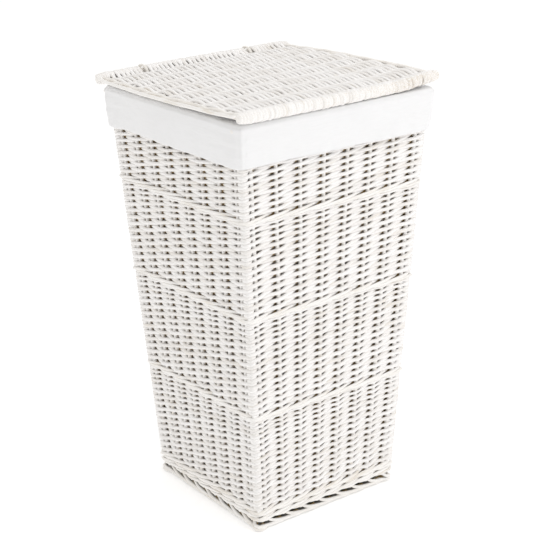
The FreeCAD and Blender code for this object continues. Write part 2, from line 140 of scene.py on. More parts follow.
class Strands:
    """Collects round rods into one mesh, with the place along and across each rod."""

    def __init__(self, sides=8):
        self.sides = sides
        self.verts, self.quads, self.caps, self.grain = [], [], [], []
        self.count = 0
        self.rods = 0

    def add(self, points, radii, ref, flat=1.0):
        """A rod along points, its sides set out from the direction ref, flat times as thick that way."""
        p = np.asarray(points, float)
        r = np.broadcast_to(np.asarray(radii, float), (len(p),)).copy()
        ref = np.broadcast_to(np.asarray(ref, float), (len(p), 3))
        head, tail = p[0] - p[1], p[-1] - p[-2]
        head, tail = head / np.linalg.norm(head) * r[0], tail / np.linalg.norm(tail) * r[-1]
        p = np.vstack([p[0] + head * END_OUTER[0], p[0] + head * END_INNER[0], p,
                       p[-1] + tail * END_INNER[0], p[-1] + tail * END_OUTER[0]])
        r = np.concatenate([[r[0] * END_OUTER[1], r[0] * END_INNER[1]], r,
                            [r[-1] * END_INNER[1], r[-1] * END_OUTER[1]]])
        ref = np.vstack([ref[:1], ref[:1], ref, ref[-1:], ref[-1:]])
        n = len(p)
        m = self.sides
        tangent = np.gradient(p, axis=0)
        tangent /= np.linalg.norm(tangent, axis=1)[:, None]
        side = np.cross(tangent, ref)
        side /= np.linalg.norm(side, axis=1)[:, None]
        top = np.cross(side, tangent)
        angle = np.arange(m) * TAU / m
        c, s = np.cos(angle), np.sin(angle)
        ring = side[:, None] * c[None, :, None] + top[:, None] * s[None, :, None] * flat
        verts = p[:, None] + ring * r[:, None, None]
        step = np.linalg.norm(np.diff(p, axis=0), axis=1)
        run = np.concatenate([[0], np.cumsum(step)]) + self.rods * GRAIN_STEP
        grain = np.stack([np.repeat(run[:, None], m, 1), r[:, None] * c[None], r[:, None] * s[None]], -1)
        row = np.arange(n - 1)[:, None] * m
        k = np.arange(m)[None]
        k2 = (k + 1) % m
        quads = np.stack([row + k, row + m + k, row + m + k2, row + k2], -1).reshape(-1, 4)
        self.verts.append(verts.reshape(-1, 3))
        self.grain.append(grain.reshape(-1, 3))
        self.quads.append(quads + self.count)
        self.caps.append(self.count + np.arange(m))
        self.caps.append(self.count + (n - 1) * m + np.arange(m)[::-1])
        self.count += n * m
        self.rods += 1

    def mesh(self, name, warp=None, depth_of=None):
        """The piece: its verts may be warped, and depth_of gives how bare each vert is from its place."""
        co = np.vstack(self.verts)
        bare = np.zeros(len(co)) if depth_of is None else depth_of(co)
        if warp is not None:
            co = warp(co)
        caps = np.array(self.caps).reshape(-1, self.sides)
        return solid(name, co, [np.vstack(self.quads), caps], grain=np.vstack(self.grain), bare=bare)


def solid(name, co, face_sets, grain=None, bare=None):
    """A smooth mesh object from vert places and arrays of faces."""
    sizes = np.concatenate([np.full(len(f), f.shape[1]) for f in face_sets])
    loops = np.concatenate([f.reshape(-1) for f in face_sets]).astype(np.int32)
    mesh = bpy.data.meshes.new(name)
    mesh.vertices.add(len(co))
    mesh.vertices.foreach_set("co", np.asarray(co, np.float32).reshape(-1))
    mesh.loops.add(len(loops))
    mesh.loops.foreach_set("vertex_index", loops)
    mesh.polygons.add(len(sizes))
    starts = np.concatenate([[0], np.cumsum(sizes)[:-1]]).astype(np.int32)
    mesh.polygons.foreach_set("loop_start", starts)
    mesh.polygons.foreach_set("use_smooth", np.full(len(sizes), True))
    if grain is not None:
        layer = mesh.attributes.new("grain", "FLOAT_VECTOR", "POINT")
        layer.data.foreach_set("vector", np.asarray(grain, np.float32).reshape(-1))
    if bare is not None:
        layer = mesh.attributes.new("bare", "FLOAT", "POINT")
        layer.data.foreach_set("value", np.asarray(bare, np.float32))
    mesh.update(calc_edges=True)
    mesh.validate()
    piece = bpy.data.objects.new(name, mesh)
    bpy.context.scene.collection.objects.link(piece)
    return piece


def wear(piece, material, body, slot, *nodes):
    """Gives a piece its material and its body, and hides the CAD nodes that it stands for; slot is not used.
    """
    piece.data.materials.append(material)
    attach(piece, body)
    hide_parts(*nodes)


# ---------------------------------------------------------------- materials


def node(tree, kind, **sets):
    """A shader node with its settings, or the inputs of those names, given their values."""
    made = tree.nodes.new(kind)
    for key, value in sets.items():
        if hasattr(made, key):
            setattr(made, key, value)
        else:
            made.inputs[key.replace("_", " ")].default_value = value
    return made


def mix_colour(tree, factor, a, b):
    """A colour mix, whose factor and colours are sockets or plain values."""
    made = node(tree, "ShaderNodeMix", data_type="RGBA", blend_type="MIX")
    for socket, value in ((made.inputs[0], factor), (made.inputs[6], a), (made.inputs[7], b)):
        if hasattr(value, "links"):
            tree.links.new(value, socket)
        elif isinstance(value, tuple):
            socket.default_value = (*value, 1)
        else:
            socket.default_value = value
    return made.outputs[2]


def span(tree, value, low, high, to_low=0.0, to_high=1.0):
    """A socket's value, taken from the span low to high onto the span to_low to to_high."""
    made = node(tree, "ShaderNodeMapRange", clamp=True)
    tree.links.new(value, made.inputs[0])
    for index, number in ((1, low), (2, high), (3, to_low), (4, to_high)):
        made.inputs[index].default_value = number
    return made.outputs[0]


def combine(tree, operation, a, b):
    """Two sockets' values added, multiplied or otherwise put together."""
    made = node(tree, "ShaderNodeMath", operation=operation)
    tree.links.new(a, made.inputs[0])
    tree.links.new(b, made.inputs[1])
    return made.outputs[0]


def fresh(name):
    """A new material, its node tree and its surface shader."""
    material = bpy.data.materials.new(name)
    material.use_nodes = True
    tree = material.node_tree
    tree.nodes.clear()
    shader = node(tree, "ShaderNodeBsdfPrincipled")
    out = node(tree, "ShaderNodeOutputMaterial")
    tree.links.new(shader.outputs[0], out.inputs[0])
    return material, tree, shader


def scaled(tree, vector, scale):
    """A vector socket with each of its parts multiplied."""
    made = node(tree, "ShaderNodeMapping", vector_type="POINT")
    tree.links.new(vector, made.inputs[0])
    made.inputs["Scale"].default_value = scale
    return made.outputs[0]


def noise(tree, vector, scale, detail=3.0, rough=0.5):
    """Soft random values from 0 to 1, with scale changes to the metre."""
    made = node(tree, "ShaderNodeTexNoise", Scale=scale, Detail=detail, Roughness=rough)
    tree.links.new(vector, made.inputs["Vector"])
    return made.outputs[0]


def bump(tree, height, strength, distance, below=None):
    """The normal of a bumpy surface, which may lie on another bump's normal."""
    made = node(tree, "ShaderNodeBump", Strength=strength, Distance=distance)
    tree.links.new(height, made.inputs["Height"])
    if below is not None:
        tree.links.new(below, made.inputs["Normal"])
    return made.outputs[0]


def willow(name, paint, dull, wood, deep, worn=0.5):
    """Painted willow: thin paint over streaked wood, worn on some rods, and deep where no spray reaches: bare
    wood, or for the base a near-black painted shade.
    """
    material, tree, shader = fresh(name)
    rod = node(tree, "ShaderNodeAttribute", attribute_name="grain").outputs["Vector"]
    bare = node(tree, "ShaderNodeAttribute", attribute_name="bare").outputs["Fac"]
    island = node(tree, "ShaderNodeNewGeometry").outputs["Random Per Island"]
    # changes to the metre along a rod and across it
    streaks = noise(tree, scaled(tree, rod, (14, 700, 700)), 1.0, 4.0, 0.6)
    blotch = noise(tree, scaled(tree, rod, (22, 160, 160)), 1.0, 2.0)
    specks = noise(tree, rod, 900.0, 2.0, 0.7)
    # each rod has its own tone, with dull streaks and worn blotches
    tone = mix_colour(tree, span(tree, island, 0.35, 1.0), paint, dull)
    tone = mix_colour(tree, span(tree, streaks, 0.52, 0.72, 0.0, 0.55), tone, dull)
    thin = mix_colour(tree, span(tree, blotch, 0.60, 0.74, 0.0, worn), tone, wood)
    # the edge of the paint is speckled
    edge = combine(tree, "ADD", bare, span(tree, specks, 0.3, 0.7, -0.16, 0.16))
    covered = mix_colour(tree, span(tree, edge, 0.38, 0.78), thin, deep)
    tree.links.new(covered, shader.inputs["Base Color"])
    tree.links.new(span(tree, streaks, 0.3, 0.7, 0.42, 0.64), shader.inputs["Roughness"])
    shader.inputs["Specular IOR Level"].default_value = 0.35
    tree.links.new(bump(tree, streaks, 0.35, 0.0004), shader.inputs["Normal"])
    return material


def cotton(name, colour, shade):
    """Plain-woven cotton: crossed threads, faint slubs and creases."""
    material, tree, shader = fresh(name)
    place = node(tree, "ShaderNodeTexCoord").outputs["Object"]
    threads = []
    for direction in ("X", "Z", "Y"):
        wave = node(tree, "ShaderNodeTexWave", bands_direction=direction, Scale=420.0, Distortion=1.2,
                    Detail=1.0)
        tree.links.new(place, wave.inputs["Vector"])
        threads.append(wave.outputs[1])
    weave = combine(tree, "ADD", combine(tree, "MULTIPLY", threads[0], threads[1]), threads[2])
    slub = noise(tree, scaled(tree, place, (60, 60, 400)), 1.0, 3.0, 0.6)
    soft = noise(tree, place, 16.0, 3.0)
    tone = mix_colour(tree, span(tree, slub, 0.45, 0.75, 0.0, 0.5), colour, shade)
    tone = mix_colour(tree, span(tree, soft, 0.35, 0.7, 0.0, 0.35), tone, shade)
    tree.links.new(tone, shader.inputs["Base Color"])
    tree.links.new(span(tree, slub, 0.3, 0.7, 0.82, 0.95), shader.inputs["Roughness"])
    shader.inputs["Sheen Weight"].default_value = 0.25
    shader.inputs["Sheen Roughness"].default_value = 0.5
    shader.inputs["Specular IOR Level"].default_value = 0.2
    fine = bump(tree, weave, 0.25, 0.0003)
    tree.links.new(bump(tree, soft, 0.35, 0.002, fine), shader.inputs["Normal"])
    return material


def elastic_stuff(name, shaded_groove, ridge):
    """A ribbed elastic band, darker in its grooves: painted shade."""
    material, tree, shader = fresh(name)
    place = node(tree, "ShaderNodeTexCoord").outputs["Object"]
    ribs = node(tree, "ShaderNodeTexWave", bands_direction="Z", Scale=300.0)
    tree.links.new(place, ribs.inputs["Vector"])
    # the grooves are painted darker, as shade
    tree.links.new(mix_colour(tree, ribs.outputs[1], shaded_groove, ridge), shader.inputs["Base Color"])
    shader.inputs["Roughness"].default_value = 0.8
    tree.links.new(bump(tree, ribs.outputs[1], 0.5, 0.0003), shader.inputs["Normal"])
    return material


# willow: sprayed paint, its dull tone, the wood that shows through, and the wood left bare; for the base the
# last is a near-black painted shade
BARE_WOOD = (0.54, 0.385, 0.18)
WHITE = willow("paint_white", (0.945, 0.93, 0.92), (0.885, 0.86, 0.835), (0.76, 0.70, 0.61), BARE_WOOD)
CREAM = willow("paint_cream", (0.94, 0.922, 0.90), (0.885, 0.853, 0.81), (0.78, 0.71, 0.60), BARE_WOOD,
               worn=0.6)
STAKE = willow("paint_stake", (0.92, 0.905, 0.89), (0.86, 0.83, 0.79), (0.70, 0.62, 0.50), BARE_WOOD)
# the base's last colour, near black, is painted shade: the dark inside of the basket seen through the foot's
# holes
UNDER_WITH_PAINTED_SHADE = willow("paint_under_with_painted_shade", (0.90, 0.885, 0.87), (0.84, 0.81, 0.77), (0.55, 0.45, 0.32),
               (0.115, 0.08, 0.045))
LOOP = willow("split_willow", (0.90, 0.875, 0.84), (0.82, 0.78, 0.71), (0.60, 0.50, 0.37),
              (0.22, 0.16, 0.09), worn=0.8)
COTTON = cotton("cotton_white", (0.872, 0.872, 0.88), (0.825, 0.824, 0.828))
# the elastic's first colour is painted shade in its grooves
ELASTIC = elastic_stuff("elastic_band", (0.70, 0.70, 0.69), (0.84, 0.84, 0.83))

# ---------------------------------------------------------------- the walls

STAKE_BUTT, STAKE_TAPER = 0.0030, 0.0006     # stake radius at the floor, and how much less it is at the rim
STAKE_RISE = 0.6                             # the height over which a stake loses that much
STEPS = 8                                    # points in a weaving rod from one stake to the next
TIP_TAPER = 0.36              # how much thinner a weaving rod is at its tip than at its butt
TAPER_SPAN = (0.55, 1.05)     # the shares of its length between which it thins
SNUG = (1.06, 1.20)           # its thickness over its share of the height: rods press into each other
DIVE = 2.1                    # how suddenly it dives behind a stake, where 1 is a plain wave
BEHIND_SWELL = 0.2            # how much thicker it is drawn behind a stake, where it closes the hole
WALE_LIFT = 0.94              # height of one wale rod on the next, in thicknesses
WALE_TUCK = 0.0022            # how much closer in a wale's rods lie at a corner


def bare_by_depth(low=-0.0016, high=0.0008):
    """How bare paint leaves a point of the wall: sprayed from outside, so the deep parts stay wood."""
    def measure(co):
        half = middle_line(co[:, 2])
        ax, ay = np.abs(co[:, 0]), np.abs(co[:, 1])
        cx, cy = np.maximum(ax - half + CORNER_TURN, 0), np.maximum(ay - half + CORNER_TURN, 0)
        corner = np.hypot(cx, cy) - CORNER_TURN
        straight = np.maximum(ax, ay) - half
        depth = np.where((cx > 0) & (cy > 0), corner, straight)
        return 1 - smooth_step(depth, low, high)
    return measure


def stake_radius(z):
    """Stake radius at height z, thinner towards the rim, as in the CAD."""
    return STAKE_BUTT - STAKE_TAPER * np.clip(np.asarray(z) / STAKE_RISE, 0, 1)


def make_randing(number, travel):
    """French randing: one rod for each stake, each in front of one stake and behind the next."""
    low, high = SECTION_BOXES[number - 1][0].z, SECTION_BOXES[number - 1][1].z
    # a rod keeps its thickness for half its length, then tapers to its tip
    lengths = np.linspace(0, 1, 101)
    taper = 1 - TIP_TAPER * smooth_step(lengths, *TAPER_SPAN)
    climb = np.concatenate([[0], np.cumsum((taper[1:] + taper[:-1]) / 2)]) / 100
    butt = (high - low) / (travel - 0.3) / (2 * climb[-1])
    strands = Strands()
    for rod in range(ROUND):
        t = np.linspace(-0.5, travel + 0.25, int((travel + 0.75) * STEPS) + 1)
        share = np.clip(t / travel, 0, 1)
        thin = butt * np.interp(share, lengths, taper)
        r = thin * RNG.uniform(*SNUG)
        beyond = np.minimum(t, 0) + np.maximum(t - travel, 0) * taper[-1]
        z = low + 0.35 * butt + 2 * butt * (travel * np.interp(share, lengths, climb) + beyond)
        z = z + wander(STEPS * 3.1, len(t), 0.0003)
        reach = stake_radius(z) + thin * 0.98
        # 1 behind a stake and -1 in front of one
        wave = np.cos(np.pi * t)
        wave = np.sign(wave) * np.abs(wave) ** DIVE
        depth = -reach * wave + wander(STEPS * 2.7, len(t), 0.0002)
        points, _ = wall_path(rod + t, z, depth)
        strands.add(points, r * (1 + BEHIND_SWELL * np.clip(wave, 0, 1)), (0, 0, 1))
    piece = strands.mesh(f"randing_{number}", depth_of=bare_by_depth())
    wear(piece, WHITE, "basket", "white_willow", f"weave_section_{number}")


def wale_round(strands, middle, radius, start, reach_out):
    """One round of three-rod waling: each rod in front of two stakes and behind the third."""
    lift = 2 * radius * WALE_LIFT
    for rod in range(3):
        u = np.linspace(start + rod - 0.5, start + rod + ROUND + 0.9, ROUND * STEPS)
        s = (u - start - rod + 0.5) % 3 - 0.5
        front = s < 1.5
        z = middle + np.where(front, lift * (s - 0.5), lift * (1.0 - 2.0 * (s - 1.5)))
        z = soften(np.clip(z, middle - lift * 0.8, middle + lift * 0.8))
        ahead = np.tanh(2.2 * np.sin(np.pi * (s + 0.5) / 2)) / math.tanh(2.2)
        behind = -np.sin(np.pi * (s - 1.5))
        turning = np.clip(1 - np.abs(u % STAKES - (STAKES - 0.5)) / 0.5, 0, 1)
        depth = np.where(front, ahead, behind) * reach_out - WALE_TUCK * turning
        z = z + wander(STEPS * 4, len(u), 0.0002)
        points, _ = wall_path(u, z, depth)
        r = radius * RNG.uniform(0.95, 1.05) * (1 + wander(STEPS * 5, len(u), 0.02))
        strands.add(points, r, (0, 0, 1))


def make_wales():
    """Three narrow wales between the sections, and a double one above the foot."""
    for number in (1, 2, 3):
        low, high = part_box(f"wale_{number}")
        strands = Strands()
        wale_round(strands, (low.z + high.z) / 2, radius=0.0022, start=5 + 9 * number, reach_out=0.0049)
        piece = strands.mesh(f"wale_rods_{number}", depth_of=bare_by_depth())
        wear(piece, CREAM, "basket", "cream_willow", f"wale_{number}")
    low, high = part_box("bottom_wale")
    strands = Strands()
    quarter = (high.z - low.z) / 4
    wale_round(strands, low.z + quarter + 0.0008, radius=0.0025, start=3, reach_out=0.0043)
    wale_round(strands, high.z - quarter, radius=0.0026, start=19, reach_out=0.0045)
    piece = strands.mesh("wale_rods_bottom", depth_of=bare_by_depth())
    wear(piece, CREAM, "basket", "cream_willow", "bottom_wale")


def border(name, keys, radius):
    """A border of one rod for each stake: keys are (stakes travelled, height, depth)."""
    strands = Strands()
    where, height, outward = (np.array(column) for column in zip(*keys))
    for rod in range(ROUND):
        s = np.linspace(where[0], where[-1], 30)
        z = soften(np.interp(s, where, height))
        depth = soften(np.interp(s, where, outward)) + wander(17, len(s), 0.0003)
        points, _ = wall_path(rod + s, z, depth)
        r = radius * RNG.uniform(0.94, 1.05) * np.linspace(1.04, 0.9, len(s))
        strands.add(points, r, (0, 0, 1))
    return strands.mesh(name, depth_of=bare_by_depth(-0.0040, -0.0010))


def make_borders():
    """The foot's rods come down a stake, slant out and lie on the floor, and the rim's roll outwards."""
    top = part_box("foot_border")[1].z
    keys = [(0.0, top + 0.005, -0.0012), (0.03, top + 0.0015, -0.0006), (0.36, 0.0084, 0.0010),
            (0.75, 0.0062, 0.0022), (1.2, 0.0046, 0.0030), (1.9, 0.0031, 0.0022),
            (2.3, 0.0029, 0.0002), (2.7, 0.0034, -0.0040), (3.0, 0.0042, -0.0062)]
    piece = border("foot_border_rods", keys, radius=0.0026)
    wear(piece, CREAM, "basket", "cream_willow", "foot_border")
    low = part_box("rim_border")[0].z
    keys = [(0.0, low - 0.002, 0.0), (0.4, low + 0.006, 0.0032), (1.2, low + 0.011, 0.0066),
            (2.2, low + 0.013, 0.0034), (3.1, low + 0.012, -0.002), (3.7, low + 0.008, -0.004)]
    piece = border("rim_border_rods", keys, radius=0.0034)
    wear(piece, WHITE, "basket", "white_willow", "rim_border")


def make_stakes():
    """The stakes, thick end down, each a little crooked, one piece for each side."""
    for index, side in enumerate(("front", "right", "back", "left")):
        nodes = [f"stake_{side}_{i + 1}" for i in range(STAKES)]
        low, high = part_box(nodes[0])[0].z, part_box(nodes[0])[1].z
        strands = Strands()
        for place in range(STAKES):
            z = np.linspace(low, high, 40)
            u = STAKES * index + place + wander(16, len(z), 0.012)
            depth = 0.0012 + wander(13, len(z), 0.0002)
            points, normals = wall_path(u, z, depth)
            strands.add(points, stake_radius(z) * 1.12, normals)
        piece = strands.mesh(f"stake_rods_{side}", depth_of=bare_by_depth(-0.0022, 0.0008))
        wear(piece, STAKE, "basket", "stake_willow", *nodes)


# ---------------------------------------------------------------- square work: the lid and the base


def pass_path(x, sign, reach, amplitude, wrap, crossings, sweep):
    """One rod of square work along Y: over and under the sticks, and sweep radians round each edge."""
    q = np.linspace(0, crossings, crossings * 7 + 1)
    y = -reach + 2 * reach * q / crossings
    edge = np.exp(-(q / 0.45) ** 2) + np.exp(-((crossings - q) / 0.45) ** 2)
    wave = np.cos(np.pi * q)
    wave = np.sign(wave) * np.abs(wave) ** (1 + 0.5 * (1 - np.clip(edge, 0, 1)))
    z = sign * wave * (amplitude + (wrap - amplitude) * edge)
    points = np.column_stack([np.full(len(q), x), y, z])
    a = np.linspace(0, sweep, 14)[1:]
    last = sign * math.cos(math.pi * crossings)
    front = np.column_stack([x + 0.0002 * a, -reach - wrap * np.sin(a), sign * wrap * np.cos(a)])
    back = np.column_stack([x - 0.0002 * a, reach + wrap * np.sin(a), last * wrap * np.cos(a)])
    return np.vstack([front[::-1], points, back])


LID_Z = (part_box("lid_edge_stick_back")[0].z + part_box("lid_edge_stick_back")[1].z) / 2
LID_TURN = math.radians(2.0)      # the lid sits a little out of square
LID_SHIFT = (-0.001, 0.001)
LID_HALF = 0.173                  # half its length along the edge sticks
LID_REACH = 0.1642                # from its middle to each edge stick
EDGE_RADIUS = 0.005               # of the edge sticks
LID_STICKS = 8                    # inner sticks
LID_STICK = 0.0021                # their radius
LID_ROD = 0.00222                 # radius of the lid's weaving
LID_PITCH = 0.00415               # from one pass of the weaving to the next
COIL = EDGE_RADIUS + LID_ROD * 0.72          # middle line of the coils round the edge sticks
LOOP_X = 0.095                    # the hinge loops' places along the back stick
LOOP_ROOM, LOOP_SPREAD = 0.0068, 0.030       # bare stick left for a loop, and how far rods are pushed

BOW_SIDES, BOW_FRONT = 0.005, 0.003          # how far the edges bow outwards
LIFT_BACK, LIFT_LEFT, LIFT_RIGHT, LIFT_FRONT = 0.0004, -0.0022, 0.0050, -0.0010
DOME, TIP_LIFT = 0.002, 0.0032               # the middle's rise, and that of the front right corner


def lid_warp(co):
    """Lid frame to row frame: the handmade lid bows a little, then sits out of square."""
    x, y, z = co[:, 0], co[:, 1], co[:, 2]
    fx, fy = np.clip(x / LID_HALF, -1, 1), np.clip(y / LID_HALF, -1, 1)
    bow_x = 1 - fy ** 2
    bow_y = 1 - fx ** 2
    nx = x + np.where(fx > 0, BOW_SIDES, -BOW_SIDES) * fx ** 2 * bow_x
    ny = y + np.where(fy > 0, 0.0, -BOW_FRONT) * fy ** 2 * bow_y
    nz = z + smooth_step(fy, 0.2, 1.0) * LIFT_BACK * bow_y
    nz = nz + smooth_step(-fx, 0.3, 1.0) * LIFT_LEFT * bow_x
    nz = nz + smooth_step(fx, 0.3, 1.0) * LIFT_RIGHT * bow_x
    nz = nz + smooth_step(-fy, 0.3, 1.0) * LIFT_FRONT * bow_y
    nz = nz + DOME * bow_x * bow_y
    nz = nz + TIP_LIFT * smooth_step(fx, 0.55, 1.0) * smooth_step(-fy, 0.1, 0.8)
    c, s = math.cos(LID_TURN), math.sin(LID_TURN)
    return np.column_stack([nx * c - ny * s + LID_SHIFT[0], nx * s + ny * c + LID_SHIFT[1], nz + LID_Z])


def bare_by_level(low, high):
    """Bare wood near the middle of the flat lid, which the spray from both faces doesn't reach."""
    def measure(co):
        inside = 1 - smooth_step(np.abs(co[:, 1]), LID_REACH - 0.012, LID_REACH - 0.006)
        return (1 - smooth_step(np.abs(co[:, 2]), low, high)) * inside
    return measure


def bare_on_lid(co):
    """Bare wood deep in the lid's weave, and thin paint on the coils, thinnest towards the right."""
    deep = bare_by_level(-0.0006, 0.0005)(co)
    outer = smooth_step(np.abs(co[:, 1]), LID_REACH - 0.002, LID_REACH + 0.003)
    return np.maximum(deep, outer * (0.33 + 0.10 * smooth_step(co[:, 0], -0.06, 0.15)))


def make_room_for_loops(path, x):
    """Pushes a pass of the lid's weaving along the back stick, away from the hinge loops."""
    near = smooth_step(path[:, 1], LID_REACH * 0.74, LID_REACH * 0.96)
    for place in (-LOOP_X, LOOP_X):
        d = path[:, 0] - place
        way = 1.0 if x >= place else -1.0
        pushed = place + way * (LOOP_ROOM + np.abs(d) * (LOOP_SPREAD - LOOP_ROOM) / LOOP_SPREAD)
        moved = path[:, 0] + (pushed - path[:, 0]) * near
        path[:, 0] = np.where(np.abs(d) < LOOP_SPREAD, moved, path[:, 0])


def make_lid_weave():
    """Close square work, coiled round both edge sticks, whose ends are bound beyond the last pass."""
    count = int(2 * (LID_HALF - 0.0148) / LID_PITCH)
    strands = Strands()
    for i in range(count):
        x = (i - (count - 1) / 2) * LID_PITCH
        sign = 1 if i % 2 == 0 else -1
        amplitude = (LID_STICK + LID_ROD * 0.5) * RNG.uniform(0.8, 1.1)
        path = pass_path(x, sign, LID_REACH, amplitude, COIL, LID_STICKS + 1, sweep=4.7)
        path = path + np.column_stack([wander(60, len(path), 0.00028), wander(50, len(path), 0.0012),
                                       wander(22, len(path), 0.00018)])
        make_room_for_loops(path, x)
        strands.add(path, LID_ROD * RNG.uniform(0.93, 1.05), (1, 0, 0), flat=1.32)
    last = (count - 1) / 2 * LID_PITCH
    wraps = round((LID_HALF + 0.0005 - last) / LID_PITCH)
    turns = np.linspace(0, wraps * TAU, wraps * 16 + 1)
    along = last + turns / TAU * LID_PITCH
    coil = COIL * (1 - 0.22 * smooth_step(turns / turns[-1], 0.3, 1.0))
    for way_x in (-1, 1):
        for way_y in (-1, 1):
            binding = np.column_stack([way_x * along, way_y * LID_REACH + coil * np.sin(turns),
                                       coil * np.cos(turns)])
            strands.add(binding, LID_ROD * 0.98, (1, 0, 0), flat=1.25)
    piece = strands.mesh("lid_randing", warp=lid_warp, depth_of=bare_on_lid)
    wear(piece, WHITE, "lid", "white_willow", "lid_weave")


def make_lid_sticks():
    """The inner sticks, butts and tips by turns, and the two thick edge sticks."""
    strands = Strands()
    for k in range(LID_STICKS):
        y = -LID_REACH + 2 * LID_REACH * (k + 1) / (LID_STICKS + 1)
        x = np.linspace(-LID_HALF + 0.010, LID_HALF - 0.010, 30)
        path = np.column_stack([x, y + wander(20, 30, 0.0004), wander(20, 30, 0.0002)])
        strands.add(path, LID_STICK * np.linspace(1.05, 0.95, 30)[::1 if k % 2 else -1], (0, 0, 1))
    piece = strands.mesh("lid_inner_rods", warp=lid_warp)
    wear(piece, STAKE, "lid", "stake_willow", "lid_sticks")

    for name, sign in (("front", -1), ("back", 1)):
        strands = Strands(12)
        x = np.linspace(-LID_HALF, LID_HALF, 40)
        path = np.column_stack([x, np.full(40, sign * LID_REACH), np.zeros(40)])
        pared = 1 - 0.25 * smooth_step(np.abs(x), LID_HALF - 0.006, LID_HALF)
        strands.add(path, EDGE_RADIUS * pared, (0, 0, 1))
        piece = strands.mesh(f"lid_edge_rod_{name}", warp=lid_warp)
        wear(piece, CREAM, "lid", "cream_willow", f"lid_edge_stick_{name}")


def make_lid_sides():
    """Each side: a straight outer rod that runs out over the coils, and a twisted pair beside it."""
    count = 120
    for name, sign in (("left", -1), ("right", 1)):
        strands = Strands()
        y = np.linspace(-1, 1, count) * (LID_REACH - EDGE_RADIUS - 0.0045)
        long_y = np.linspace(-1, 1, count) * (LID_REACH + 0.0040)
        over = 0.0040 * smooth_step(np.abs(long_y), LID_REACH - 0.016, LID_REACH - 0.003)
        outer = np.column_stack([sign * (LID_HALF - 0.0020) + wander(70, count, 0.0002), long_y,
                                 over + wander(60, count, 0.0002)])
        strands.add(outer, 0.0025 * (1 + wander(50, count, 0.05)), (0, 0, 1))
        for strand in range(2):
            phase = TAU * y / 0.084 + math.pi * strand + wander(80, count, 0.25)
            path = np.column_stack([sign * (LID_HALF - 0.0088) + 0.0026 * np.cos(phase), y,
                                    0.0022 * np.sin(phase)])
            strands.add(path, 0.0026 * (1 + wander(40, count, 0.05)), (0, 0, 1))
        piece = strands.mesh(f"lid_plait_{name}", warp=lid_warp, depth_of=bare_by_level(-0.0010, 0.0008))
        wear(piece, CREAM, "lid", "cream_willow", f"lid_border_{name}")


def bare_below_and_painted_shade(half):
    """The base's bare parts take its near-black painted shade: below, where it was sprayed from inside only,
    and at its edges, which stand in the border behind the foot's holes.
    """
    def measure(co):
        edge = smooth_step(np.maximum(np.abs(co[:, 0]), np.abs(co[:, 1])), half - 0.016, half - 0.008)
        return np.maximum(1 - smooth_step(co[:, 2], -0.0005, 0.0022), edge)
    return measure


def make_base():
    """The base's square work, over five inner sticks and two edge sticks."""
    low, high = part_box("base_weave")
    level = np.array([0, 0, (low.z + high.z) / 2])
    half = high.x
    reach = half - 0.006
    sticks = 5
    pitch, rod, waviness, wrap = 0.00455, 0.0022, 0.0034, 0.0035
    count = int(2 * (half - 0.001) / pitch)

    def settle(co):
        return co + level

    strands = Strands(6)
    for i in range(count):
        x = (i - (count - 1) / 2) * pitch
        path = pass_path(x, 1 if i % 2 == 0 else -1, reach, waviness, wrap, sticks + 1, sweep=2.4)
        path[:, 0] += wander(60, len(path), 0.0003)
        strands.add(path, rod * RNG.uniform(0.93, 1.06), (1, 0, 0))
    # bare below and at the edges, in near-black painted shade
    piece = strands.mesh("base_randing", warp=settle, depth_of=bare_below_and_painted_shade(half))
    wear(piece, UNDER_WITH_PAINTED_SHADE, "basket", "white_willow", "base_weave")

    strands = Strands()
    for k in range(sticks + 2):
        y = -reach + 2 * reach * k / (sticks + 1)
        thick = 0.0036 if k in (0, sticks + 1) else 0.0030
        x = np.linspace(-half + 0.001, half - 0.001, 24)
        strands.add(np.column_stack([x, np.full(24, y), wander(20, 24, 0.0002)]), thick, (0, 0, 1))
    # the rods too take the near-black painted shade below and at the edges
    piece = strands.mesh("base_rods", warp=settle, depth_of=bare_below_and_painted_shade(half))
    wear(piece, UNDER_WITH_PAINTED_SHADE, "basket", "stake_willow", "base_sticks", "base_edge_stick_front",
         "base_edge_stick_back")


def make_hinge_loops():
    """Two rings of split willow, each wound twice round the lid's back stick and the rim border."""
    strip = 0.0017
    for name in ("left", "right"):
        low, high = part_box(f"hinge_loop_{name}")
        middle = (low + high) / 2
        ring = (high.z - low.z) / 2 - 0.0016
        turns = np.linspace(-0.35, 2 * TAU + 0.35, 96)
        across = np.interp(turns, [0, 2 * TAU], [-0.0019, 0.0019])
        swell = 1 + 0.03 * np.sin(turns / 2)
        local_y = ring * swell * np.sin(turns)
        local_z = -ring * swell * np.cos(turns) + 0.0019
        c, s = math.cos(LID_TURN), math.sin(LID_TURN)
        path = np.column_stack([middle.x + across * c - local_y * s,
                                middle.y + across * s + local_y * c, middle.z + local_z])
        strands = Strands()
        strands.add(path, strip, (c, s, 0))
        piece = strands.mesh(f"hinge_ring_{name}")
        wear(piece, LOOP, "basket", "loop_willow", f"hinge_loop_{name}")


# ---------------------------------------------------------------- the liner

